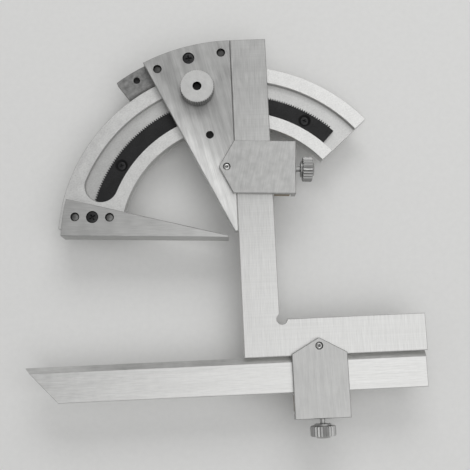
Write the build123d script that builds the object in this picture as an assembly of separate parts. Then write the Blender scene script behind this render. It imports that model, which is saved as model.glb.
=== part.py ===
from build123d import *
import os
from math import cos, degrees, pi, radians, sin, tan

# Universal bevel protractor, millimetres.
# Origin: the vertex of the measured angle, on the plane where the sector slides on the arc.
# +Z points to the plain rear side, -Z to the graduated front, -Y out of the base ruler's face.

# Reading at rest
rest_reading = 2.95  # degrees between the base ruler and the straight edge

# Layers
plate_thickness = 4.0  # sector plate, square and straight edge
arc_thickness = 5.5
slide_gap = 0.05  # between faces that slide on each other
press_gap = 0.01  # radial, between a pressed pin and its hole
running_gap = 0.05  # radial, between a turning shaft and its hole
edge_break = 0.25  # small chamfer round the plates' rear outlines

# Main arc
arc_inner = 45.5
arc_width = 24.2
arc_end_angle = 44.2  # free end, degrees from +X
arc_bevel = 1.0  # front outer edge, held by the vernier plate

# Recess in the arc's rear face, with the rack in it
recess_inner_wall = 5.35  # width of the arc's face inside the recess
recess_outer_wall = 5.8  # width of the arc's face outside it
recess_round_angle = 159.1  # centre of the recess's round end
recess_depth = 2.0
rack_side_gap = 0.1
rack_width = 6.77  # inner edge to pitch circle
rack_sink = 0.5  # of the rack's face below the arc's
rack_end_angle = 49.5

# Rack and pinion teeth
rack_circle_teeth = 376  # teeth on the rack's full circle
pinion_teeth = 18
tooth_addendum = 0.9  # times the module
tooth_dedendum = 1.25  # times the module
tooth_share = 0.4  # of the pitch at the pitch circle, the rest of the half is backlash
tooth_flank = 20.0  # degrees
pinion_floor_gap = 0.3  # between the pinion and the recess's floor

# Base ruler
base_slope = 12.3  # degrees
base_end_inset = 1.9  # of its rounded outer end inside the arc's outer edge
base_tip_cut = 3.74  # distance of the blunt tip from the vertex
base_ledge = 3.4  # height of the full-thickness bar below the arc's end
base_seat_gap = 0.05  # between the arc's inner edge and the base's step
base_fastener_inset = 10.5  # of the screw from the arc's inner edge
base_fastener_y = 7.4
base_dowel_offset = 6.6

# Sector plate and what is fixed to it
sector_angle = 25.85
sector_tip = 2.65
sector_fastener_inset = 4.95  # from the sector's outer edge
sector_dowel_angle = 10.05  # each side of the sector's middle line
guide_gap = 0.15  # between the arc's outer edge and the guide
guide_width = 9.15
guide_start = 91.1
guide_end = 125.15
guide_lead = 0.6  # chamfer on the guide's inner rear edge
vernier_thickness = 1.5
vernier_screw_inset = 3.8  # from the sector's outer edge
vernier_screw_angle = 5.25  # degrees from each end of the guide

# Screws and dowels
screw_head = 4.5
screw_head_height = 1.7
screw_head_sink = 0.35  # of the head below the face
screw_head_gap = 0.1  # radial, round the head
screw_shank = 2.5
screw_grip = 3.0  # length of thread in the lower piece
dowel_diameter = 3.4
dowel_sink = 0.7  # of the dowel's end below the face
dowel_grip = 3.2
rack_screw_head = 4.9
rack_screw_angles = (61.5, 148.0)
vernier_screw_head = 3.8
vernier_screw_shank = 2.7
vernier_screw_grip = 2.6

# Feed knob
knob_diameter = 13.3
knob_height = 4.7
knob_gap = 0.3  # between the knob and the sector plate
knob_chamfer = 0.35
knob_grooves = 44
knob_groove_depth = 0.35
knob_bore = 3.5
knob_bore_depth = 1.8
shaft_diameter = 3.6
shaft_grip = 2.3  # length of the shaft inside the knob

# Brake on the front side
brake_inset = 3.7  # of the screw inside the arc's inner edge
brake_thread = 3.0
brake_screw_reach = 3.0  # length of thread in the sector plate
brake_plate_thickness = 1.8
brake_heel_reach = 5.8  # of the plate inside the screw
brake_lip = 3.5  # of the plate over the arc's inner rim
brake_plate_half_angle = 7.0
brake_heel_width = 2.6
brake_knob_diameter = 11.0
brake_knob_height = 5.0
brake_knob_grooves = 36

# Square
blade_gap = 0.05  # between edges that slide on each other
square_arm_width = 13.95
square_arm_length = 124.55
square_corner_drop = 45.55  # outer corner below the vertex
square_limb_height = 13.9
square_limb_reach = 68.85
relief_diameter = 4.3
relief_offset = 0.8  # of the relief hole from the inner corner, along the limb

# Straight edge
straight_edge_length = 150.0
straight_edge_width = 13.4
straight_edge_overhang = 81.9  # of its tip to the left of the sector's edge
straight_edge_end_angle = 47.0
straight_edge_bevel = 2.25

# Clamps
clamp_width = 20.7
clamp_tip = 3.1  # tip of the pentagon beyond the pin
clamp_shoulder = 2.7
clamp_tip_round = 1.0
clamp_plate = 1.8
clamp_jaw = 1.0  # thickness of the jaw under the blade
clamp_jaw_width = 13.0  # narrower than the plate, clear of the arc when the clamp swings
clamp_wall = 1.6
clamp_pin_diameter = 2.95
clamp_pin_sink = 0.25
clamp_pin_inset = 3.4  # of the pin's hole from the edge that the blade bears on
shoe_length = 5.9
shoe_width = 20.5
shoe_gap = 1.1  # between the shoe and the blade, room for the clamp to swing
shoe_room = 0.6  # behind the wider blade's shoe
upper_clamp_height = 27.45  # of the upper pin above the vertex, along the sector's edge
upper_clamp_turn = -2.95  # from square to the sector's edge
lower_clamp_along = 28.0  # of the lower pin from the sector's edge

# Thumbscrews
thumb_thread = 2.6
thumb_neck = 2.0
thumb_neck_length = 2.1
thumb_socket = 1.0  # depth of the screw's tip in the shoe
thumb_boss_diameter = 6.2
thumb_boss_height = 0.7
thumb_head_diameter = 9.6
thumb_head_length = 3.7
thumb_head_chamfer = 0.3
thumb_face_height = 0.7
thumb_grooves = 24
thumb_groove_depth = 0.4

# Derived levels
plate_bottom = slide_gap
plate_top = plate_bottom + plate_thickness
arc_front = -arc_thickness
recess_floor = -recess_depth
rack_top = -rack_sink
pinion_bottom = recess_floor + pinion_floor_gap
pinion_top = plate_bottom - 2 * slide_gap
guide_bottom = arc_front + vernier_thickness
clamp_slot_bottom = plate_bottom - slide_gap
clamp_slot_top = plate_top + slide_gap
clamp_bottom = clamp_slot_bottom - clamp_jaw
clamp_top = clamp_slot_top + clamp_plate
brake_plate_top = arc_front - slide_gap
brake_plate_bottom = brake_plate_top - brake_plate_thickness

# Derived places
through = 1.0  # overshoot of a cutter
quarter_turn = 90.0
half_turn = 180.0  # direction of the base ruler from the vertex
arc_outer = arc_inner + arc_width
recess_inner = arc_inner + recess_inner_wall
recess_outer = arc_outer - recess_outer_wall
recess_middle = (recess_inner + recess_outer) / 2
recess_half_width = (recess_outer - recess_inner) / 2
base_reach = arc_outer - base_end_inset
base_fastener_x = arc_inner + base_fastener_inset
sector_middle = quarter_turn + sector_angle / 2
sector_outer = arc_outer + guide_gap + guide_width
sector_fastener_radius = sector_outer - sector_fastener_inset
vernier_screw_radius = sector_outer - vernier_screw_inset
brake_radius = arc_inner - brake_inset
rack_inner = recess_inner + rack_side_gap
rack_pitch_radius = rack_inner + rack_width
gear_module = 2 * rack_pitch_radius / rack_circle_teeth
pinion_pitch_radius = gear_module * pinion_teeth / 2
pinion_distance = rack_pitch_radius + pinion_pitch_radius
pinion_angle = sector_middle + rest_reading
rack_screw_radius = (rack_inner + rack_pitch_radius) / 2 - gear_module / 2
limb_bottom = -square_corner_drop
limb_top = limb_bottom + square_limb_height
square_arm_top = square_arm_length - square_corner_drop
straight_edge_top = limb_bottom - blade_gap
widest_blade = max(square_arm_width, straight_edge_width)
turned = Rot(0, 0, rest_reading)  # from zero reading to the rest pose


def polar(radius, angle):
    """Point at a radius and an angle in degrees, about the vertex axis."""
    return radius * cos(radians(angle)), radius * sin(radians(angle))


def slab(face, bottom, top):
    """Plate with a flat outline, between two levels."""
    return Pos(0, 0, bottom) * extrude(face, top - bottom, dir=(0, 0, 1))


def outline(*points):
    """Flat face with straight sides."""
    return make_face(Polyline(*points, close=True))


def ring_sector(inner, outer, start, end):
    """Flat face between two radii and two angles."""
    middle = (start + end) / 2
    edges = [
        ThreePointArc(polar(outer, start), polar(outer, middle), polar(outer, end)),
        Line(polar(outer, end), polar(inner, end)),
        ThreePointArc(polar(inner, end), polar(inner, middle), polar(inner, start)),
        Line(polar(inner, start), polar(outer, start)),
    ]
    return make_face(edges)


def swept(profile, start, end):
    """Ring sector with a (radius, height) profile."""
    section = Plane.XZ * outline(*profile)
    return Rot(0, 0, start) * revolve(section, Axis.Z, end - start)


def peg(diameter, bottom, top, place=(0, 0)):
    """Upright round pin, or the cutter for its hole."""
    return Pos(place[0], place[1], bottom) * extrude(Circle(diameter / 2), top - bottom, dir=(0, 0, 1))


def turned_piece(*profile):
    """Solid of revolution about Z from (radius, height) points, starting and ending on the axis."""
    return revolve(Plane.XZ * outline(*profile), Axis.Z, 360)


def break_rear_edges(plate, size=edge_break):
    """Small chamfer round the outline of a plate's rear face."""
    rear = plate.faces().sort_by(Axis.Z)[-1]
    return chamfer(rear.outer_wire().edges(), size)


def grooved(diameter, bottom, height, count, depth, bevel):
    """Straight-knurled disc with a bevel at both rims."""
    step = 360 / count
    points = []
    for groove in range(count):
        points.append(polar(diameter / 2, groove * step))
        points.append(polar(diameter / 2 - depth, (groove + 0.5) * step))
    radius = diameter / 2
    blank = turned_piece(
        (0, bottom), (radius - bevel, bottom), (radius, bottom + bevel),
        (radius, bottom + height - bevel), (radius - bevel, bottom + height), (0, bottom + height),
    )
    return slab(outline(*points), bottom, bottom + height) & blank


def tooth_profile(pitch_radius, middle):
    """Four points of one straight-flanked tooth whose middle lies at an angle in degrees."""
    half_pitch = gear_module * pi * tooth_share / 2
    points = []
    for side in (-1, 1):
        levels = (-tooth_dedendum, tooth_addendum)
        for level in levels if side < 0 else reversed(levels):
            radius = pitch_radius + level * gear_module
            half = half_pitch - level * gear_module * tan(radians(tooth_flank))
            points.append(polar(radius, middle + side * degrees(half / radius)))
    return points


# Main arc with the rack recess and the holes for its fasteners
base_dowel_places = [(-base_fastener_x + side * base_dowel_offset, base_fastener_y) for side in (-1, 1)]
base_screw_place = (-base_fastener_x, base_fastener_y)
rack_screw_places = [polar(rack_screw_radius, angle) for angle in rack_screw_angles]


def recess_face(margin):
    """Outline of the recess, or with a margin inside it."""
    inner = recess_inner + margin
    outer = recess_outer - margin
    run = ring_sector(inner, outer, arc_end_angle - through, recess_round_angle)
    end = Pos(*polar(recess_middle, recess_round_angle)) * Circle(recess_half_width - margin)
    return run + end


def below_ledge():
    """Cutter for the space beside the vertex that the base ruler's full-thickness bar takes."""
    width = 2 * (arc_outer + through)
    return Pos(-arc_outer, 0, 0) * Box(width, 2 * base_ledge, 2 * (arc_thickness + through))


def make_main_arc():
    profile = [
        (arc_inner, arc_front),
        (arc_outer - arc_bevel, arc_front),
        (arc_outer, arc_front + arc_bevel),
        (arc_outer, -edge_break),
        (arc_outer - edge_break, 0),
        (arc_inner + edge_break, 0),
        (arc_inner, -edge_break),
    ]
    arc = swept(profile, arc_end_angle, half_turn) - below_ledge()
    arc -= slab(recess_face(0), recess_floor, through)
    for place in rack_screw_places:
        arc -= peg(screw_shank + 2 * press_gap, recess_floor - screw_grip, through, place)
    for place in base_dowel_places:
        arc -= peg(dowel_diameter + 2 * press_gap, -dowel_grip, through, place)
    arc -= peg(screw_shank + 2 * press_gap, -screw_grip, through, base_screw_place)
    return arc


# Rack sector: the outline has one tooth after another, in mesh with the pinion at rest
def make_rack_sector():
    pitch = 360 / rack_circle_teeth
    root = rack_pitch_radius - tooth_dedendum * gear_module
    first = int((pinion_angle - rack_end_angle) / pitch)
    last = int((half_turn - pinion_angle) / pitch)
    points = [polar(rack_inner, rack_end_angle), polar(root, rack_end_angle)]
    for tooth in range(-first + 1, last):
        points += tooth_profile(rack_pitch_radius, pinion_angle + (tooth + 0.5) * pitch)
    points.append(polar(rack_inner, half_turn))
    teeth = Polyline(*points)
    back = ThreePointArc(points[-1], polar(rack_inner, (half_turn + rack_end_angle) / 2), points[0])
    blank = slab(make_face([*teeth.edges(), back]), recess_floor, rack_top)
    rack = blank & slab(recess_face(rack_side_gap), recess_floor - through, through)
    for place in rack_screw_places:
        rack -= Pos(*place) * countersunk_cutter(rack_screw_head, screw_shank, rack_top)
    return rack


# Screws
def countersunk_cutter(head, shank, top):
    radius = head / 2 + press_gap
    stem = shank / 2 + press_gap
    drop = radius - stem
    return turned_piece(
        (0, top + through), (radius, top + through), (radius, top), (stem, top - drop),
        (stem, top - drop - 2 * screw_grip), (0, top - drop - 2 * screw_grip),
    )


def countersunk_screw(head, shank, top, length):
    drop = (head - shank) / 2
    return turned_piece(
        (0, top), (head / 2, top), (shank / 2, top - drop), (shank / 2, top - length), (0, top - length),
    )


def cheese_screw(head_top, seat, grip_end):
    return peg(screw_head, seat, head_top) + peg(screw_shank, grip_end, seat)


def make_rack_screws():
    length = rack_top - recess_floor + screw_grip
    screw = countersunk_screw(rack_screw_head, screw_shank, rack_top, length)
    return Compound([Pos(*place) * screw for place in rack_screw_places])


# Base ruler: wedge over both layers, with a step for the arc's end
def make_base_ruler():
    far = base_reach + through
    wedge = outline(
        (-base_tip_cut, 0), (-far, 0), (-far, far * tan(radians(base_slope))),
        (-base_tip_cut, base_tip_cut * tan(radians(base_slope))),
    )
    ruler = slab(wedge, arc_front, plate_top) & peg(2 * base_reach, arc_front, plate_top)
    ruler = break_rear_edges(ruler)
    step = ring_sector(arc_inner - base_seat_gap, arc_outer + through, quarter_turn, half_turn)
    ruler -= slab(step, arc_front - through, 0) - below_ledge()
    for place in base_dowel_places:
        ruler -= peg(dowel_diameter + 2 * press_gap, -through, plate_top + through, place)
    return ruler - screw_hole(base_screw_place, plate_top)


def screw_hole(place, face):
    """Counterbored hole for a cheese-headed screw that enters at a rear face."""
    seat = face - screw_head_sink - screw_head_height
    bore = peg(screw_head + 2 * screw_head_gap, seat, face + through, place)
    return bore + peg(screw_shank + 2 * press_gap, -2 * screw_grip, face, place)


def face_screw(place, face, grip_end):
    seat = face - screw_head_sink - screw_head_height
    return Pos(*place) * cheese_screw(seat + screw_head_height, seat, grip_end)


def make_dowels(places, grip_end):
    dowel = peg(dowel_diameter, grip_end, plate_top - dowel_sink)
    return Compound([Pos(*place) * dowel for place in places])


# Sector plate, guide block and vernier plate, drawn at zero reading
sector_screw_place = polar(sector_fastener_radius, sector_middle)
sector_dowel_places = [
    polar(sector_fastener_radius, sector_middle + side * sector_dowel_angle) for side in (-1, 1)
]
pinion_place = polar(pinion_distance, sector_middle)
brake_place = polar(brake_radius, sector_middle)
upper_pin_place = (-clamp_pin_inset, upper_clamp_height)
lower_pin_place = (lower_clamp_along, limb_bottom + clamp_pin_inset)
vernier_screw_places = [
    polar(vernier_screw_radius, guide_start + vernier_screw_angle),
    polar(vernier_screw_radius, guide_end - vernier_screw_angle),
]


def make_sector_plate():
    fan = ring_sector(sector_tip, sector_outer, quarter_turn, quarter_turn + sector_angle)
    plate = break_rear_edges(slab(fan, plate_bottom, plate_top))
    for place in sector_dowel_places:
        plate -= peg(dowel_diameter + 2 * press_gap, 0, plate_top + through, place)
    plate -= screw_hole(sector_screw_place, plate_top)
    plate -= peg(shaft_diameter + 2 * running_gap, 0, plate_top + through, pinion_place)
    plate -= peg(brake_thread + 2 * running_gap, 0, plate_top + through, brake_place)
    plate -= peg(clamp_pin_diameter + 2 * running_gap, 0, plate_top + through, upper_pin_place)
    return plate


def make_guide_block():
    inner = arc_outer + guide_gap
    profile = [
        (inner, guide_bottom),
        (sector_outer, guide_bottom),
        (sector_outer, plate_bottom - edge_break),
        (sector_outer - edge_break, plate_bottom),
        (inner + guide_lead, plate_bottom),
        (inner, plate_bottom - guide_lead),
    ]
    block = swept(profile, guide_start, guide_end)
    for place in sector_dowel_places:
        block -= peg(dowel_diameter + 2 * press_gap, -dowel_grip, through, place)
    block -= peg(screw_shank + 2 * press_gap, -screw_grip, through, sector_screw_place)
    for place in vernier_screw_places:
        block -= peg(vernier_screw_shank + 2 * press_gap, arc_front, through, place)
    return block


def make_vernier_plate():
    inner = arc_outer + guide_gap
    profile = [
        (inner - arc_bevel, arc_front),
        (sector_outer, arc_front),
        (sector_outer, guide_bottom),
        (inner, guide_bottom),
        (inner, arc_front + arc_bevel),
    ]
    plate = swept(profile, guide_start, guide_end)
    for place in vernier_screw_places:
        cutter = Rot(180, 0, 0) * countersunk_cutter(vernier_screw_head, vernier_screw_shank, arc_thickness)
        plate -= Pos(*place) * cutter
    return plate


def make_vernier_screws():
    length = vernier_thickness + vernier_screw_grip
    screw = countersunk_screw(vernier_screw_head, vernier_screw_shank, arc_thickness, length)
    screw = Rot(180, 0, 0) * screw
    return Compound([Pos(*place) * screw for place in vernier_screw_places])


# Feed knob and pinion, on the sector's middle line
def make_feed_knob():
    bottom = plate_top + knob_gap
    top = bottom + knob_height
    knob = grooved(knob_diameter, bottom, knob_height, knob_grooves, knob_groove_depth, knob_chamfer)
    knob -= peg(shaft_diameter + 2 * press_gap, bottom - through, bottom + shaft_grip)
    return knob - peg(knob_bore, top - knob_bore_depth, top + through)


def make_pinion_shaft():
    step = 360 / pinion_teeth
    towards_vertex = sector_middle + half_turn
    points = []
    for tooth in range(pinion_teeth):
        points += tooth_profile(pinion_pitch_radius, towards_vertex + tooth * step)
    pinion = slab(outline(*points), pinion_bottom, pinion_top)
    return pinion + peg(shaft_diameter, pinion_top, plate_top + knob_gap + shaft_grip)


# Brake: the plate's heel stands on the sector plate, its lip grips the arc's inner rim
def make_brake_plate():
    start = sector_middle - brake_plate_half_angle
    end = sector_middle + brake_plate_half_angle
    inner = brake_radius - brake_heel_reach
    grip = ring_sector(inner, arc_inner + brake_lip, start, end)
    heel = ring_sector(inner, inner + brake_heel_width, start, end)
    plate = slab(grip, brake_plate_bottom, brake_plate_top) + slab(heel, brake_plate_top, 0)
    return plate - peg(brake_thread + 2 * running_gap, brake_plate_bottom - through, through, brake_place)


def make_brake_screw():
    head_top = brake_plate_bottom - slide_gap
    head = grooved(
        brake_knob_diameter, head_top - brake_knob_height, brake_knob_height,
        brake_knob_grooves, knob_groove_depth, knob_chamfer,
    )
    return head + peg(brake_thread, head_top, plate_bottom + brake_screw_reach)


# Square and straight edge, drawn at zero reading
def make_square():
    arm_left = blade_gap
    arm_right = arm_left + square_arm_width
    limb_right = square_limb_reach
    shape = outline(
        (arm_left, limb_bottom), (limb_right, limb_bottom), (limb_right, limb_top),
        (arm_right, limb_top), (arm_right, square_arm_top), (arm_left, square_arm_top),
    )
    blade = break_rear_edges(slab(shape, plate_bottom, plate_top))
    relief = (arm_right + relief_offset, limb_top)
    blade -= peg(relief_diameter, 0, plate_top + through, relief)
    return blade - peg(clamp_pin_diameter + 2 * running_gap, 0, plate_top + through, lower_pin_place)


def make_straight_edge():
    left = -straight_edge_overhang
    right = left + straight_edge_length
    bottom = straight_edge_top - straight_edge_width
    cut = straight_edge_width / tan(radians(straight_edge_end_angle))
    shape = outline(
        (left, straight_edge_top), (right, straight_edge_top), (right, bottom), (left + cut, bottom),
    )
    blade = break_rear_edges(slab(shape, plate_bottom, plate_top))
    bevel = outline(
        (straight_edge_top - straight_edge_bevel - through, plate_top + through),
        (straight_edge_top + through, plate_top + through),
        (straight_edge_top + through, plate_top - straight_edge_bevel - through),
    )
    run = 2 * straight_edge_length
    return blade - Pos(-run / 2, 0, 0) * extrude(Plane.YZ * bevel, run, dir=(1, 0, 0))


# Clamps, drawn with the pin on the origin and the screw along +X, then placed
def shoe_front(blade_width):
    """Distance of a shoe's front face from the clamp's pin."""
    return clamp_pin_inset + blade_gap + blade_width + shoe_gap


clamp_slot_end = shoe_front(widest_blade) + shoe_length + shoe_room
clamp_length = clamp_slot_end + clamp_wall


def clamp_body():
    half = clamp_width / 2
    shape = outline(
        (-clamp_tip, 0), (clamp_shoulder, -half), (clamp_length, -half),
        (clamp_length, half), (clamp_shoulder, half),
    )
    body = slab(shape, clamp_bottom, clamp_top)
    tip = body.edges().filter_by(Axis.Z).sort_by(Axis.X)[0]
    body = fillet(tip, clamp_tip_round)
    body = break_rear_edges(body)
    slot = Box(2 * clamp_slot_end, 2 * clamp_width, clamp_slot_top - clamp_slot_bottom)
    body -= Pos(0, 0, (clamp_slot_top + clamp_slot_bottom) / 2) * slot
    for side in (-1, 1):
        beside_jaw = Pos(0, side * clamp_jaw_width, 0) * Rectangle(4 * clamp_length, clamp_jaw_width)
        body -= slab(beside_jaw, clamp_bottom - through, plate_bottom)
    body -= peg(clamp_pin_diameter + 2 * press_gap, clamp_bottom - through, clamp_top + through)
    screw_bore = peg(thumb_thread + 2 * running_gap, clamp_slot_end - through, clamp_length + through)
    return body - along_screw(screw_bore)


def along_screw(piece):
    """Lay an upright piece along the clamp's screw axis, so that its height runs along +X."""
    return Pos(0, 0, (plate_bottom + plate_top) / 2) * Rot(0, 90, 0) * piece


def clamp_pin():
    return peg(clamp_pin_diameter, clamp_bottom + clamp_pin_sink, clamp_top - clamp_pin_sink)


def clamp_shoe(blade_width):
    front = shoe_front(blade_width)
    shoe = Pos(front + shoe_length / 2, 0, (plate_bottom + plate_top) / 2)
    shoe *= Box(shoe_length, shoe_width, plate_thickness)
    socket_end = front + shoe_length
    socket = peg(thumb_thread + 2 * running_gap, socket_end - thumb_socket, socket_end + through)
    return shoe - along_screw(socket)


def thumbscrew(blade_width):
    tip = shoe_front(blade_width) + shoe_length - thumb_socket + slide_gap
    thread_end = clamp_length
    boss = thread_end + thumb_neck_length
    head = boss + thumb_boss_height
    face = head + thumb_head_length
    end = face + thumb_face_height
    thread_radius = thumb_thread / 2
    neck_radius = thumb_neck / 2
    boss_radius = thumb_boss_diameter / 2
    stem = turned_piece(
        (0, tip), (thread_radius, tip), (thread_radius, thread_end), (neck_radius, thread_end),
        (neck_radius, boss), (boss_radius, boss), (boss_radius, face),
        (boss_radius - thumb_face_height, end), (0, end),
    )
    rim = grooved(
        thumb_head_diameter, head, thumb_head_length, thumb_grooves, thumb_groove_depth, thumb_head_chamfer
    )
    return along_screw(stem + rim)


upper_clamp = turned * Pos(*upper_pin_place) * Rot(0, 0, upper_clamp_turn)
lower_clamp = turned * Pos(*lower_pin_place) * Rot(0, 0, -90)
upper_blade = square_arm_width
lower_blade = straight_edge_width
on_pinion = turned * Pos(*pinion_place)
on_brake = turned * Pos(*brake_place)

pieces = {
    "main_arc": make_main_arc(),
    "rack_sector": make_rack_sector(),
    "rack_screws": make_rack_screws(),
    "base_ruler": make_base_ruler(),
    "base_screw": face_screw(base_screw_place, plate_top, -screw_grip),
    "base_dowels": make_dowels(base_dowel_places, -dowel_grip),
    "sector_plate": turned * make_sector_plate(),
    "guide_block": turned * make_guide_block(),
    "vernier_plate": turned * make_vernier_plate(),
    "vernier_screws": turned * make_vernier_screws(),
    "sector_screw": turned * face_screw(sector_screw_place, plate_top, -screw_grip),
    "sector_dowels": turned * make_dowels(sector_dowel_places, -dowel_grip),
    "feed_knob": on_pinion * make_feed_knob(),
    "pinion_shaft": on_pinion * make_pinion_shaft(),
    "brake_plate": turned * make_brake_plate(),
    "brake_screw": on_brake * make_brake_screw(),
    "square": turned * make_square(),
    "straight_edge": turned * make_straight_edge(),
    "upper_clamp_body": upper_clamp * clamp_body(),
    "upper_clamp_pin": upper_clamp * clamp_pin(),
    "upper_clamp_shoe": upper_clamp * clamp_shoe(upper_blade),
    "upper_thumbscrew": upper_clamp * thumbscrew(upper_blade),
    "lower_clamp_body": lower_clamp * clamp_body(),
    "lower_clamp_pin": lower_clamp * clamp_pin(),
    "lower_clamp_shoe": lower_clamp * clamp_shoe(lower_blade),
    "lower_thumbscrew": lower_clamp * thumbscrew(lower_blade),
}

os.makedirs("parts", exist_ok=True)
for name, shape in pieces.items():
    export_step(shape, f"parts/{name}.step")
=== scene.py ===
import math

import bmesh
import bpy
from mathutils import Euler, Matrix, Vector


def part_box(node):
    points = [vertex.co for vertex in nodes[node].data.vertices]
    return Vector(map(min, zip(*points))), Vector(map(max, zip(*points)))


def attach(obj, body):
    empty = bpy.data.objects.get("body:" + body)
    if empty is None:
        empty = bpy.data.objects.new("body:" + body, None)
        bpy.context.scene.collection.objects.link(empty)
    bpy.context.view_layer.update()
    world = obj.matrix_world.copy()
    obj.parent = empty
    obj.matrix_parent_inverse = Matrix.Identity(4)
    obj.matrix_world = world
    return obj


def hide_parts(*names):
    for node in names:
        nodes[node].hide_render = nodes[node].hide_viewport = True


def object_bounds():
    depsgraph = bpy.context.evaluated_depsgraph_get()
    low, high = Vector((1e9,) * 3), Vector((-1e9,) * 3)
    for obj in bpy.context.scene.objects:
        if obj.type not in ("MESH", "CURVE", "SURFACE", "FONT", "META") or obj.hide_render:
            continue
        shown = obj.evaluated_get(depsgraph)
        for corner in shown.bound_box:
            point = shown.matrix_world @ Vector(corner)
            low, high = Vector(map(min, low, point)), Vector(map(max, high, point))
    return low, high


# Universal bevel protractor lying rear side up, in metres, in the frame of the solids
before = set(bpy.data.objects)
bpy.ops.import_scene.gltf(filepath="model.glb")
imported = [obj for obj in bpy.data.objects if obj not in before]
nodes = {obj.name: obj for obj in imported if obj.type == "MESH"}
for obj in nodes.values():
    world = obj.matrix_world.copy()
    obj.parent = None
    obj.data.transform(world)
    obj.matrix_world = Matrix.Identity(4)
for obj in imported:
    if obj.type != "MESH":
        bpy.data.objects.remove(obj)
cad_low, cad_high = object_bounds()
MM = 0.001
VERTEX = (0, 0, 0)  # of the measured angle

# Camera, solved from corners of the object in a 470 x 470 picture
PICTURE = 470
FOCAL_PIXELS = 800
SENSOR = 36.0
CAMERA_PLACE = Vector((-4.93, -44.47, 305.53)) * MM
CAMERA_TURN = (8.556, -0.72, 0.367)  # degrees

# Reading at rest and the scale on the front side
REST_READING = 2.95  # degrees
VERNIER_START = 93.6  # direction of the vernier's zero line at a reading of 0, degrees from +X
VERNIER_LINES = 30
VERNIER_SPAN = 29.0  # degrees
SCALE_LOW = -40
SCALE_HIGH = 79
LINE_WIDTH = 0.12 * MM
LINE_HEIGHT = 0.012 * MM
NUMBER_SIZE = 2.6 * MM
VERNIER_NUMBER_SIZE = 2.0 * MM
SCALE_EDGE = 68.5 * MM  # outer ends of the main scale's lines
SCALE_NUMBERS = 62.4 * MM
VERNIER_EDGE = 69.1 * MM  # inner ends of the vernier's lines
VERNIER_NUMBERS = 72.6 * MM
TEN_LINE = 3.6 * MM  # lengths of the main scale's lines
FIVE_LINE = 2.8 * MM
DEGREE_LINE = 2.0 * MM
VERNIER_GROUP = 5  # every fifth line is long and has a number
VERNIER_LONG = 2.0 * MM
VERNIER_SHORT = 1.5 * MM
VERNIER_MINUTES = 2  # between two lines

# Turned pieces and recesses
TURN_STEPS = 48
SHARP_ANGLE = math.radians(32)
CROSS_TAPER = 0.6  # of the recess's size at its bottom
SOFT_EDGE = 0.05 * MM  # half width of a change of finish
TOOTH_DEPTH = 0.7 * MM
RECESS_LIP = 0.1  # millimetres that a cross stands out of its face, so that the cut is clean

# Finishes
WARM = 0.985  # blue of a warm grey against its red
COOL = 1.03
STREAK_DEPTH = 2 * MM  # cells of streaks, cross marks and hairlines along Z
HAIR_DEPTH = 0.5 * MM
CROSS_MARK_WIDTH = 0.4 * MM
RING_PITCH = 0.12 * MM
GROUND_PAINTED_SHADE = (0.9 * MM, 0.4)  # reach of the painted shade in corners, and its darkest shade
# the same painted shade in corners, for turned pieces
TURNED_PAINTED_SHADE = (0.8 * MM, 0.15)
BRASS = (0.2, 0.145, 0.07)
INK = (0.02, 0.02, 0.022)
HOLE_PAINTED_SHADE = 0.04  # painted shade deep in a hole
RECESS_PAINTED_SHADE = 0.8  # painted shade on the floor of the rack's recess
RECESS_REACH = 90 * MM  # radius that takes in the whole arc
# painted shade on the knob's knurled side
KNURL_PAINTED_SHADE = 0.42
KNURL_RADIUS = 6 * MM  # where the knurled band starts
KNURL_TOP = 0.36 * MM  # below the knob's face
BORE_REACH = 1.85 * MM  # a little more than the bore's radius
BORE_TOP = 0.1 * MM  # below the knob's face
BRAKE_REACH = 2 * MM  # radius about the brake screw's axis
BRAKE_HIGH = 10 * MM  # a level above its end
RECESS_LOW = -4 * MM  # levels between which the recess's floor lies
RECESS_HIGH = -0.1 * MM
CUT_GREY = 0.5  # of freshly cut teeth
CUT_TOP = 0.06 * MM  # below the rack's face

# Studio
FLOOR_REACH = 3.0
PAPER = (0.78, 0.78, 0.77)
KEY_PLACE = (0.08, 0.88, 0.72)
KEY_SIZE = (0.8, 0.5)
OVERHEAD_PLACE = (0.32, -0.22, 0.9)
OVERHEAD_SIZE = (1.15, 1.15)
LAMP_POWER = 3.6  # watts
SKY_STRENGTH = 0.42


# Shader helpers
def new_material(name):
    material = bpy.data.materials.new(name)
    material.use_nodes = True
    return material, material.node_tree, material.node_tree.nodes["Principled BSDF"]


def noise(tree, cell, angle=0.0, detail=3.0, seed=0.0):
    """Noise in object space, with cells of a size in metres, turned by degrees about Z."""
    place = tree.nodes.new("ShaderNodeTexCoord")
    turn = tree.nodes.new("ShaderNodeMapping")
    turn.vector_type = "TEXTURE"
    turn.inputs["Rotation"].default_value = (0, 0, math.radians(angle))
    turn.inputs["Scale"].default_value = cell
    tree.links.new(place.outputs["Object"], turn.inputs["Vector"])
    texture = tree.nodes.new("ShaderNodeTexNoise")
    texture.noise_dimensions = "4D"
    texture.inputs["W"].default_value = seed
    texture.inputs["Scale"].default_value = 1.0
    texture.inputs["Detail"].default_value = detail
    tree.links.new(turn.outputs["Vector"], texture.inputs["Vector"])
    return texture.outputs["Fac"]


def rings(tree, centre, pitch):
    """Turning marks: fine rings about an upright axis through the centre."""
    place = tree.nodes.new("ShaderNodeTexCoord")
    move = tree.nodes.new("ShaderNodeMapping")
    move.vector_type = "TEXTURE"
    move.inputs["Location"].default_value = centre
    move.inputs["Scale"].default_value = (pitch, pitch, pitch)
    tree.links.new(place.outputs["Object"], move.inputs["Vector"])
    wave = tree.nodes.new("ShaderNodeTexWave")
    wave.wave_type = "RINGS"
    wave.rings_direction = "Z"
    wave.inputs["Scale"].default_value = 0.3
    wave.inputs["Distortion"].default_value = 0.6
    wave.inputs["Detail"].default_value = 2.0
    tree.links.new(move.outputs["Vector"], wave.inputs["Vector"])
    return wave.outputs["Fac"]


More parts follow.
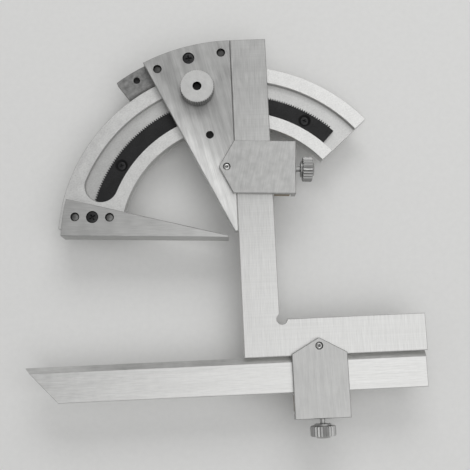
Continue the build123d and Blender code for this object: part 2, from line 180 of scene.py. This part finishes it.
def spread(tree, value, low, high, start=0.3, end=0.7):
    """Map a texture's usual range onto low to high."""
    node = tree.nodes.new("ShaderNodeMapRange")
    node.inputs["From Min"].default_value = start
    node.inputs["From Max"].default_value = end
    node.inputs["To Min"].default_value = low
    node.inputs["To Max"].default_value = high
    tree.links.new(value, node.inputs["Value"])
    return node.outputs["Result"]


def product(tree, first, second):
    node = tree.nodes.new("ShaderNodeMath")
    node.operation = "MULTIPLY"
    tree.links.new(first, node.inputs[0])
    tree.links.new(second, node.inputs[1])
    return node.outputs["Value"]


def tint(tree, colour, value):
    """Base colour times a varying value."""
    node = tree.nodes.new("ShaderNodeVectorMath")
    node.operation = "SCALE"
    node.inputs[0].default_value = colour
    tree.links.new(value, node.inputs["Scale"])
    return node.outputs["Vector"]


def along(tree, angle):
    """Distance from the vertex along a direction in the plane, in metres."""
    place = tree.nodes.new("ShaderNodeTexCoord")
    turn = tree.nodes.new("ShaderNodeMapping")
    turn.vector_type = "TEXTURE"
    turn.inputs["Rotation"].default_value = (0, 0, math.radians(angle))
    tree.links.new(place.outputs["Object"], turn.inputs["Vector"])
    split = tree.nodes.new("ShaderNodeSeparateXYZ")
    tree.links.new(turn.outputs["Vector"], split.inputs["Vector"])
    return split.outputs["X"]


def reach(tree, centre):
    """Distance from an upright axis through the centre, in metres."""
    place = tree.nodes.new("ShaderNodeTexCoord")
    move = tree.nodes.new("ShaderNodeVectorMath")
    move.operation = "SUBTRACT"
    move.inputs[1].default_value = centre
    tree.links.new(place.outputs["Object"], move.inputs[0])
    flat = tree.nodes.new("ShaderNodeVectorMath")
    flat.operation = "MULTIPLY"
    flat.inputs[1].default_value = (1, 1, 0)
    tree.links.new(move.outputs["Vector"], flat.inputs[0])
    length = tree.nodes.new("ShaderNodeVectorMath")
    length.operation = "LENGTH"
    tree.links.new(flat.outputs["Vector"], length.inputs[0])
    return length.outputs["Value"]


def level(tree):
    """Height in the frame, in metres."""
    place = tree.nodes.new("ShaderNodeTexCoord")
    split = tree.nodes.new("ShaderNodeSeparateXYZ")
    tree.links.new(place.outputs["Object"], split.inputs["Vector"])
    return split.outputs["Z"]


def above(tree, value, edge):
    """1 where a value is above the edge, 0 below it."""
    return spread(tree, value, 0, 1, edge - SOFT_EDGE, edge + SOFT_EDGE)


def below(tree, value, edge):
    return spread(tree, value, 1, 0, edge - SOFT_EDGE, edge + SOFT_EDGE)


def within(tree, centre, radius, low, high):
    """1 inside an upright cylinder between two levels, 0 outside it."""
    tall = product(tree, above(tree, level(tree), low), below(tree, level(tree), high))
    return product(tree, below(tree, reach(tree, centre), radius), tall)


def shaded(tree, shade, mask, dark):
    """A shade that goes to its dark share where the mask is 1."""
    return product(tree, shade, spread(tree, mask, 1, dark, 0, 1))


def grime(tree, size, darkest):
    """Painted shade from the piece's own occlusion, darker in its grooves, holes and recesses."""
    node = tree.nodes.new("ShaderNodeAmbientOcclusion")
    node.only_local = True
    node.samples = 8
    node.inputs["Distance"].default_value = size
    return spread(tree, node.outputs["AO"], darkest, 1, 0.3, 0.92)


def bump(tree, shader, height, depth, strength):
    node = tree.nodes.new("ShaderNodeBump")
    node.inputs["Strength"].default_value = strength
    node.inputs["Distance"].default_value = depth
    tree.links.new(height, node.inputs["Height"])
    tree.links.new(node.outputs["Normal"], shader.inputs["Normal"])


def steel(name, grey, roughness, grain=0.0, streak=0.05, mottle=0.05, seed=0.0,
          streak_cell=(22, 0.9), mottle_cell=5.0, hair=(6, 0.3), cross_marks=0.0, painted_light_fade=None, painted_shade=None):
    """Ground steel: streaks and hairlines along the grain, cloudy patches, and both in the roughness.

    Cells are in millimetres. A painted light fade is (angle, start, end, shade at start, shade at end), in
    degrees and millimetres from the vertex, which makes the piece lighter or darker along a direction, and a
    painted shade is (centre, radius, low, high, shade) of an upright cylinder."""
    material, tree, shader = new_material(name)
    length, width = streak_cell
    streaks = noise(tree, (length * MM, width * MM, STREAK_DEPTH), grain, 2.0, seed)
    hairs = noise(tree, (hair[0] * MM, hair[1] * MM, HAIR_DEPTH), grain, 3.0, seed + 3)
    clouds = noise(tree, (mottle_cell * MM,) * 3, grain, 4.0, seed + 7)
    shade = product(tree, spread(tree, streaks, 1 - streak, 1 + streak), spread(tree, hairs, 0.9, 1.1))
    shade = product(tree, shade, spread(tree, clouds, 1 - mottle, 1 + mottle))
    # painted shade in the piece's own corners
    shade = product(tree, shade, grime(tree, *GROUND_PAINTED_SHADE))
    if cross_marks:
        cell = (length * MM, CROSS_MARK_WIDTH, STREAK_DEPTH)
        marks = noise(tree, cell, grain + 90, 2.0, seed + 9)
        shade = product(tree, shade, spread(tree, marks, 1 - cross_marks, 1 + cross_marks))
    # painted light: the piece goes lighter or darker along a direction, as light falls on it
    if painted_light_fade:
        angle, start, end, first, last = painted_light_fade
        shade = product(tree, shade, spread(tree, along(tree, angle), first, last, start * MM, end * MM))
    # painted shade inside an upright cylinder
    if painted_shade:
        *place, dark = painted_shade
        shade = shaded(tree, shade, within(tree, *place), dark)
    tree.links.new(tint(tree, (grey, grey, grey * WARM), shade), shader.inputs["Base Color"])
    rough = product(
        tree, spread(tree, hairs, 0.88, 1.12), spread(tree, clouds, roughness * 0.9, roughness * 1.1))
    tree.links.new(rough, shader.inputs["Roughness"])
    shader.inputs["Metallic"].default_value = 1.0
    bump(tree, shader, hairs, depth=0.012 * MM, strength=0.35)
    return material


def turned_steel(name, grey, roughness, centre, seed=0.0, mottle=0.06, painted_shade=None, painted_rim=None):
    """Turned steel: rings on the faces, fine scratches, clouds, and a painted shade as ground steel has it.

    A painted rim is (radius, low, high, shade) of painted shade on a knurled band beyond the radius, between
    two levels."""
    material, tree, shader = new_material(name)
    marks = rings(tree, centre, RING_PITCH)
    grit = noise(tree, (0.25 * MM,) * 3, seed=seed)
    clouds = noise(tree, (2.5 * MM,) * 3, seed=seed + 5)
    shade = product(tree, spread(tree, grit, 0.93, 1.07), spread(tree, clouds, 1 - mottle, 1 + mottle))
    # painted shade in the piece's own corners
    shade = product(tree, shade, grime(tree, *TURNED_PAINTED_SHADE))
    # painted shade on the knurled band
    if painted_rim:
        radius, low, high, dark = painted_rim
        band = product(tree, above(tree, level(tree), low), below(tree, level(tree), high))
        band = product(tree, band, above(tree, reach(tree, centre), radius))
        shade = shaded(tree, shade, band, dark)
    # painted shade inside an upright cylinder
    if painted_shade:
        *place, dark = painted_shade
        shade = shaded(tree, shade, within(tree, *place), dark)
    tree.links.new(tint(tree, (grey, grey, grey * WARM), shade), shader.inputs["Base Color"])
    rough = product(
        tree, spread(tree, marks, 0.9, 1.1, 0, 1), spread(tree, grit, roughness * 0.9, roughness * 1.1))
    tree.links.new(rough, shader.inputs["Roughness"])
    shader.inputs["Metallic"].default_value = 1.0
    bump(tree, shader, marks, depth=0.006 * MM, strength=0.3)
    return material


def blackened(name, grey, roughness, seed=0.0, bright=None):
    """Blackened steel: dark oxide with lighter rubbed specks.

    Bright is (radius, top, grey) of freshly cut teeth beyond a radius and below a level."""
    material, tree, shader = new_material(name)
    grit = noise(tree, (0.35 * MM,) * 3, detail=4.0, seed=seed)
    clouds = noise(tree, (4 * MM,) * 3, seed=seed + 2)
    shade = product(tree, spread(tree, grit, 0.8, 1.25), spread(tree, clouds, 0.85, 1.15))
    if bright:
        radius, top, cut_grey = bright
        teeth = product(tree, above(tree, reach(tree, VERTEX), radius), below(tree, level(tree), top))
        shade = shaded(tree, shade, teeth, cut_grey / grey)
    tree.links.new(tint(tree, (grey, grey, grey * COOL), shade), shader.inputs["Base Color"])
    tree.links.new(spread(tree, grit, roughness * 1.1, roughness * 0.9), shader.inputs["Roughness"])
    shader.inputs["Metallic"].default_value = 0.7
    bump(tree, shader, grit, depth=0.01 * MM, strength=0.3)
    return material


def tarnished_brass(name):
    material, tree, shader = new_material(name)
    marks = noise(tree, (6 * MM, 0.2 * MM, 0.2 * MM), angle=20.0)
    clouds = noise(tree, (3 * MM,) * 3, seed=4)
    shade = product(tree, spread(tree, marks, 0.92, 1.06), spread(tree, clouds, 0.9, 1.08))
    tree.links.new(tint(tree, BRASS, shade), shader.inputs["Base Color"])
    tree.links.new(spread(tree, marks, 0.28, 0.42), shader.inputs["Roughness"])
    shader.inputs["Metallic"].default_value = 1.0
    bump(tree, shader, marks, depth=0.01 * MM, strength=0.3)
    return material


def engraving_black(name):
    """Dull black filling of the graduation lines and numbers."""
    material, tree, shader = new_material(name)
    grit = noise(tree, (0.15 * MM,) * 3)
    tree.links.new(tint(tree, INK, spread(tree, grit, 0.7, 1.4)), shader.inputs["Base Color"])
    tree.links.new(spread(tree, grit, 0.5, 0.75), shader.inputs["Roughness"])
    return material


# Places read from the solids
def node_centre(name):
    low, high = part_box(name)
    return (low + high) / 2


def pair_centres(name):
    """Centres of the two solids of a node, split across the longer side of its box."""
    points = [vertex.co for vertex in nodes[name].data.vertices]
    low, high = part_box(name)
    axis = 0 if high.x - low.x > high.y - low.y else 1
    middle = (low[axis] + high[axis]) / 2
    centres = []
    for side in (-1, 1):
        part = [p for p in points if (p[axis] - middle) * side > 0]
        lows = Vector([min(p[i] for p in part) for i in range(3)])
        highs = Vector([max(p[i] for p in part) for i in range(3)])
        centres.append((lows + highs) / 2)
    return centres


# Finish of each solid
knob_place = node_centre("feed_knob")
knob_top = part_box("feed_knob")[1].z
brake_place = node_centre("brake_screw")
rack_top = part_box("rack_sector")[1].z
rack_reach = max(Vector(v.co[:2]).length for v in nodes["rack_sector"].data.vertices)
# painted shade deep in the knob's bore
bore_painted_shade = (knob_place, BORE_REACH, 0, knob_top - BORE_TOP, HOLE_PAINTED_SHADE)
# painted shade on the brake screw deep in its hole
brake_painted_shade = (brake_place, BRAKE_REACH, 0, BRAKE_HIGH, HOLE_PAINTED_SHADE)
# painted shade on the arc below its rear face: the recess's floor and walls, and the sides
recess_painted_shade = (VERTEX, RECESS_REACH, RECESS_LOW, RECESS_HIGH, RECESS_PAINTED_SHADE)
# painted shade on the knob's knurled side
knurl_painted_shade = (KNURL_RADIUS, 0, knob_top - KNURL_TOP, KNURL_PAINTED_SHADE)
cut_teeth = (rack_reach - TOOTH_DEPTH, rack_top - CUT_TOP, CUT_GREY)
# The fades below paint light into the colour, and the stains and the rim paint shade into it.
finishes = {
    "main_arc": steel(
        "arc_satin", 0.70, 0.42, grain=20, streak=0.02, mottle=0.04, seed=1, streak_cell=(8, 0.6),
        mottle_cell=4.0, hair=(0.7, 0.5), painted_light_fade=(0, -60, 50, 0.97, 1.08), painted_shade=recess_painted_shade),
    "base_ruler": steel("base_ground", 0.49, 0.45, streak=0.04, seed=2, painted_light_fade=(0, -62, -10, 0.92, 1.1)),
    "sector_plate": steel(
        "sector_ground", 0.55, 0.40, grain=105.9, streak=0.14, seed=3, streak_cell=(45, 2.2),
        painted_light_fade=(50, 15, 29, 1.3, 0.74)),
    "guide_block": steel(
        "guide_machined", 0.24, 0.5, grain=30, streak=0.12, mottle=0.3, seed=4, streak_cell=(3, 1.2),
        mottle_cell=1.6),
    "vernier_plate": steel("vernier_satin", 0.70, 0.42, grain=20, streak=0.03, mottle=0.04, seed=5),
    "brake_plate": steel("brake_milled", 0.5, 0.45, grain=15, streak=0.06, mottle=0.06, seed=6),
    "square": steel(
        "square_ground", 0.62, 0.38, grain=92.95, streak=0.04, mottle=0.03, seed=7, streak_cell=(40, 1.0),
        cross_marks=0.04, painted_light_fade=(90, -10, 70, 1.0, 0.72)),
    "straight_edge": steel(
        "blade_ground", 0.65, 0.38, grain=2.95, streak=0.04, seed=8, streak_cell=(40, 0.9), mottle_cell=2.5),
    "upper_clamp_body": steel(
        "upper_clamp_satin", 0.48, 0.45, grain=80, streak=0.04, mottle=0.1, seed=9, streak_cell=(7, 1.6),
        mottle_cell=2.6),
    "lower_clamp_body": steel(
        "lower_clamp_ground", 0.47, 0.42, grain=92.95, streak=0.06, mottle=0.08, seed=10,
        streak_cell=(16, 1.2), mottle_cell=3.5),
    "feed_knob": turned_steel("knob_turned", 0.60, 0.38, knob_place, 11, painted_shade=bore_painted_shade, painted_rim=knurl_painted_shade),
    "upper_thumbscrew": turned_steel("upper_thumb_turned", 0.36, 0.42, node_centre("upper_thumbscrew"), 12),
    "lower_thumbscrew": turned_steel("lower_thumb_turned", 0.46, 0.40, node_centre("lower_thumbscrew"), 13),
    "brake_screw": turned_steel("brake_knob_turned", 0.55, 0.38, brake_place, 14, painted_shade=brake_painted_shade),
    "pinion_shaft": turned_steel("pinion_turned", 0.5, 0.35, node_centre("pinion_shaft"), 15),
    "base_dowels": turned_steel("base_dowel_turned", 0.16, 0.45, node_centre("base_dowels"), 16, 0.3),
    "sector_dowels": turned_steel("sector_dowel_turned", 0.1, 0.6, node_centre("sector_dowels"), 17, 0.3),
    "upper_clamp_pin": turned_steel("upper_pin_turned", 0.5, 0.3, node_centre("upper_clamp_pin"), 18),
    "lower_clamp_pin": turned_steel("lower_pin_turned", 0.5, 0.3, node_centre("lower_clamp_pin"), 19),
    "rack_sector": blackened("rack_black", 0.022, 0.5, 20, cut_teeth),
    "upper_clamp_shoe": tarnished_brass("upper_shoe_brass"),
    "lower_clamp_shoe": tarnished_brass("lower_shoe_brass"),
}
screw_black = blackened("screw_black", 0.03, 0.4, 21)
for name in ("rack_screws", "base_screw", "sector_screw", "vernier_screws"):
    finishes[name] = screw_black
for name, material in finishes.items():
    slots = nodes[name].data.materials
    slots.clear()
    slots.append(material)


# Screws, pins and scales with more detail than the solids
def show(name, mesh, material, body, replaced=()):
    """Put a new piece in the scene, on a body, in the place of the named solids."""
    mesh.shade_smooth()
    mesh.set_sharp_from_angle(angle=SHARP_ANGLE)
    mesh.materials.clear()
    mesh.materials.append(material)
    piece = bpy.data.objects.new(name, mesh)
    bpy.context.scene.collection.objects.link(piece)
    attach(piece, body)
    if replaced:
        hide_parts(*replaced)


def body_mesh(name, build):
    """Mesh filled by a function that adds to a bmesh."""
    shape = bmesh.new()
    build(shape)
    bmesh.ops.recalc_face_normals(shape, faces=shape.faces)
    mesh = bpy.data.meshes.new(name)
    shape.to_mesh(mesh)
    shape.free()
    return mesh


def turned(shape, profile, place):
    """Add a solid of revolution; the profile is (radius, height) in millimetres, from axis to axis."""
    loops = []
    for radius, height in profile:
        steps = TURN_STEPS if radius else 1
        angles = [2 * math.pi * step / steps for step in range(steps)]
        loop = []
        for angle in angles:
            x = place.x + radius * MM * math.cos(angle)
            y = place.y + radius * MM * math.sin(angle)
            loop.append(shape.verts.new((x, y, height * MM)))
        loops.append(loop)
    for first, second in zip(loops, loops[1:]):
        for step in range(TURN_STEPS):
            after = step + 1
            ring = [first[step % len(first)], first[after % len(first)],
                    second[after % len(second)], second[step % len(second)]]
            shape.faces.new(list(dict.fromkeys(ring)))


def cross(shape, place, face, arm, width, depth, angle):
    """Add a tapered cross; depth is downwards from the face, or upwards where negative; millimetres."""
    half = width / 2
    corner = [(arm, -half), (arm, half), (half, half)]
    loops = []
    mouth = face + RECESS_LIP * math.copysign(1, depth)
    for height, size in ((mouth, 1.0), (face - depth, CROSS_TAPER)):
        loop = []
        for quarter in range(4):
            turn = Matrix.Rotation(math.radians(angle + 90 * quarter), 2)
            for point in corner:
                x, y = turn @ Vector(point) * size * MM
                loop.append(shape.verts.new((place.x + x, place.y + y, height * MM)))
        loops.append(loop)
        shape.faces.new(loop)
    for step in range(len(loops[0])):
        before = step - 1
        shape.faces.new([loops[0][before], loops[0][step], loops[1][step], loops[1][before]])


def cut(mesh, tool_mesh):
    """Mesh with the tool's volume taken out."""
    target = bpy.data.objects.new("target", mesh)
    tool = bpy.data.objects.new("tool", tool_mesh)
    for item in (target, tool):
        bpy.context.scene.collection.objects.link(item)
    modifier = target.modifiers.new("cut", "BOOLEAN")
    modifier.operation = "DIFFERENCE"
    modifier.solver = "EXACT"
    modifier.object = tool
    result = bpy.data.meshes.new_from_object(target.evaluated_get(bpy.context.evaluated_depsgraph_get()))
    for item in (target, tool):
        bpy.data.objects.remove(item)
    return result


def screws(name, places, profile, recess, angles, body):
    """Cross-recess screws; the recess is (face, arm, width, depth) in millimetres."""
    def heads(shape):
        for place in places:
            turned(shape, profile, place)

    def crosses(shape):
        for place, angle in zip(places, angles):
            cross(shape, place, *recess, angle)

    mesh = cut(body_mesh(name + "_turned", heads), body_mesh(name + "_recess", crosses))
    show(name + "_detail", mesh, screw_black, body, (name,))


SUNK_SCREW = [(0, -1.05), (1.38, -1.05), (1.56, -1.1), (1.68, -1.22), (1.25, -1.65), (1.25, -5.0), (0, -5.0)]
FACE_SCREW = [(0, 3.7), (1.9, 3.7), (2.1, 3.63), (2.22, 3.48), (2.25, 3.3), (2.25, 2.0), (1.25, 2.0),
              (1.25, -3.0), (0, -3.0)]
VERNIER_SCREW = [(0, -5.5), (1.8, -5.5), (1.86, -5.44), (1.35, -4.93), (1.35, -1.4), (0, -1.4)]
SUNK_RECESS = (-1.05, 0.85, 0.42, 0.7)
FACE_RECESS = (3.7, 1.3, 0.55, 0.9)
VERNIER_RECESS = (-5.5, 1.1, 0.45, -0.8)
screws("rack_screws", pair_centres("rack_screws"), SUNK_SCREW, SUNK_RECESS, (20, 65), "base")
screws("base_screw", [node_centre("base_screw")], FACE_SCREW, FACE_RECESS, (35,), "base")
screws("sector_screw", [node_centre("sector_screw")], FACE_SCREW, FACE_RECESS, (10,), "sector")
screws("vernier_screws", pair_centres("vernier_screws"), VERNIER_SCREW, VERNIER_RECESS, (5, 50), "sector")

PIN_PROFILE = [(0, 5.1), (0.25, 5.2), (0.5, 5.6), (0.62, 5.65), (0.9, 5.6), (1.2, 5.42), (1.38, 5.2),
               (1.475, 4.9), (1.475, -0.35), (1.38, -0.58), (1.1, -0.7), (0, -0.75)]
DOWEL_PROFILE = [(0, 3.35), (1.15, 3.35), (1.4, 3.2), (1.7, 2.7), (1.7, -3.0), (1.5, -3.2), (0, -3.2)]


def pegs(node, places, profile, body):
    """Turned pins with shaped ends in the place of a node's plain ones."""
    def build(shape):
        for place in places:
            turned(shape, profile, place)

    show(node + "_detail", body_mesh(node + "_turned", build), finishes[node], body, (node,))


for side in ("upper", "lower"):
    pegs(side + "_clamp_pin", [node_centre(side + "_clamp_pin")], PIN_PROFILE, side + "_clamp")
pegs("base_dowels", pair_centres("base_dowels"), DOWEL_PROFILE, "base")
pegs("sector_dowels", pair_centres("sector_dowels"), DOWEL_PROFILE, "sector")


def scale_line(shape, angle, start, end, face):
    """Add a thin bar on a face that looks down, from one radius to another at an angle in degrees."""
    outward = Vector((math.cos(math.radians(angle)), math.sin(math.radians(angle)), 0))
    sideways = Vector((-outward.y, outward.x, 0)) * LINE_WIDTH / 2
    bar = bmesh.ops.create_cube(shape, size=1.0)["verts"]
    for vertex in bar:
        x, y, z = vertex.co
        vertex.co = outward * (start + end) / 2 + outward * x * (end - start) + sideways * 2 * y
        vertex.co.z = face - LINE_HEIGHT / 2 + z * LINE_HEIGHT


def scale_number(shape, label, angle, radius, size, face):
    """Add a number, upright outwards, on a face that looks down."""
    letters = bpy.data.curves.new(label, "FONT")
    letters.body = label
    letters.size = size
    letters.align_x = "CENTER"
    letters.align_y = "CENTER"
    letters.extrude = LINE_HEIGHT / 2
    holder = bpy.data.objects.new(label, letters)
    bpy.context.scene.collection.objects.link(holder)
    solid = bpy.data.meshes.new_from_object(holder.evaluated_get(bpy.context.evaluated_depsgraph_get()))
    bpy.data.objects.remove(holder)
    turn = math.radians(angle)
    outward = Vector((math.cos(turn), math.sin(turn), 0))
    right = Vector((-math.sin(turn), math.cos(turn), 0))
    axes = Matrix((right, outward, Vector((0, 0, -1)))).transposed().to_4x4()
    place = outward * radius
    place.z = face - LINE_HEIGHT / 2
    solid.transform(Matrix.Translation(place) @ axes)
    shape.from_mesh(solid)


def main_scale(shape):
    """Whole degrees; the numbers start again at the square's side of the zero line."""
    for degree in range(SCALE_LOW, SCALE_HIGH + 1):
        angle = VERNIER_START + degree
        length = TEN_LINE if degree % 10 == 0 else FIVE_LINE if degree % 5 == 0 else DEGREE_LINE
        scale_line(shape, angle, SCALE_EDGE - length, SCALE_EDGE, face_level)
        if degree % 10 == 0:
            label = str(degree if degree >= 0 else degree + 90)
            scale_number(shape, label, angle, SCALE_NUMBERS, NUMBER_SIZE, face_level)


def vernier_scale(shape):
    """29 degrees in 30 parts, so that each line reads 2 minutes."""
    for line in range(VERNIER_LINES + 1):
        angle = VERNIER_START + REST_READING + line * VERNIER_SPAN / VERNIER_LINES
        numbered = line % VERNIER_GROUP == 0
        length = VERNIER_LONG if numbered else VERNIER_SHORT
        scale_line(shape, angle, VERNIER_EDGE, VERNIER_EDGE + length, face_level)
        if numbered:
            label = str(line * VERNIER_MINUTES)
            scale_number(shape, label, angle, VERNIER_NUMBERS, VERNIER_NUMBER_SIZE, face_level)


face_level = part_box("main_arc")[0].z
scale_ink = engraving_black("scale_black")
show("main_scale", body_mesh("main_scale", main_scale), scale_ink, "base")
show("vernier_scale", body_mesh("vernier_scale", vernier_scale), scale_ink, "sector")

# Floor, light and camera
floor_level = cad_low.z
floor_mesh = bpy.data.meshes.new("floor")
floor_signs = [(-1, -1), (1, -1), (1, 1), (-1, 1)]
floor_corners = [(x * FLOOR_REACH, y * FLOOR_REACH, floor_level) for x, y in floor_signs]
floor_mesh.from_pydata(floor_corners, [], [(0, 1, 2, 3)])
floor = bpy.data.objects.new("floor", floor_mesh)
bpy.context.scene.collection.objects.link(floor)
paper, paper_tree, paper_shader = new_material("floor_paper")
fibres = noise(paper_tree, (2 * MM,) * 3, detail=4.0)
paper_colour = tint(paper_tree, PAPER, spread(paper_tree, fibres, 0.985, 1.015))
paper_tree.links.new(paper_colour, paper_shader.inputs["Base Color"])
paper_shader.inputs["Roughness"].default_value = 0.8
floor_mesh.materials.append(paper)


def area_light(name, place, target, size, power):
    light = bpy.data.lights.new(name, "AREA")
    light.shape = "RECTANGLE"
    light.size, light.size_y = size
    light.energy = power
    lamp = bpy.data.objects.new(name, light)
    lamp.location = place
    lamp.rotation_euler = (Vector(target) - Vector(place)).to_track_quat("-Z", "Y").to_euler()
    bpy.context.scene.collection.objects.link(lamp)


area_light("key", KEY_PLACE, VERTEX, KEY_SIZE, LAMP_POWER)
area_light("overhead", OVERHEAD_PLACE, VERTEX, OVERHEAD_SIZE, LAMP_POWER)
world = bpy.data.worlds.new("studio")
bpy.context.scene.world = world
world.use_nodes = True
sky = world.node_tree.nodes["Background"]
sky.inputs["Color"].default_value = (1, 1, 1, 1)
sky.inputs["Strength"].default_value = SKY_STRENGTH

camera_data = bpy.data.cameras.new("camera")
camera_data.sensor_width = SENSOR
camera_data.lens = FOCAL_PIXELS / PICTURE * SENSOR
camera_data.clip_start = 0.01
camera = bpy.data.objects.new("camera", camera_data)
camera.location = CAMERA_PLACE
camera.rotation_euler = Euler([math.radians(a) for a in CAMERA_TURN], "XYZ")
bpy.context.scene.collection.objects.link(camera)
bpy.context.scene.camera = camera
bpy.context.scene.view_settings.view_transform = "Standard"
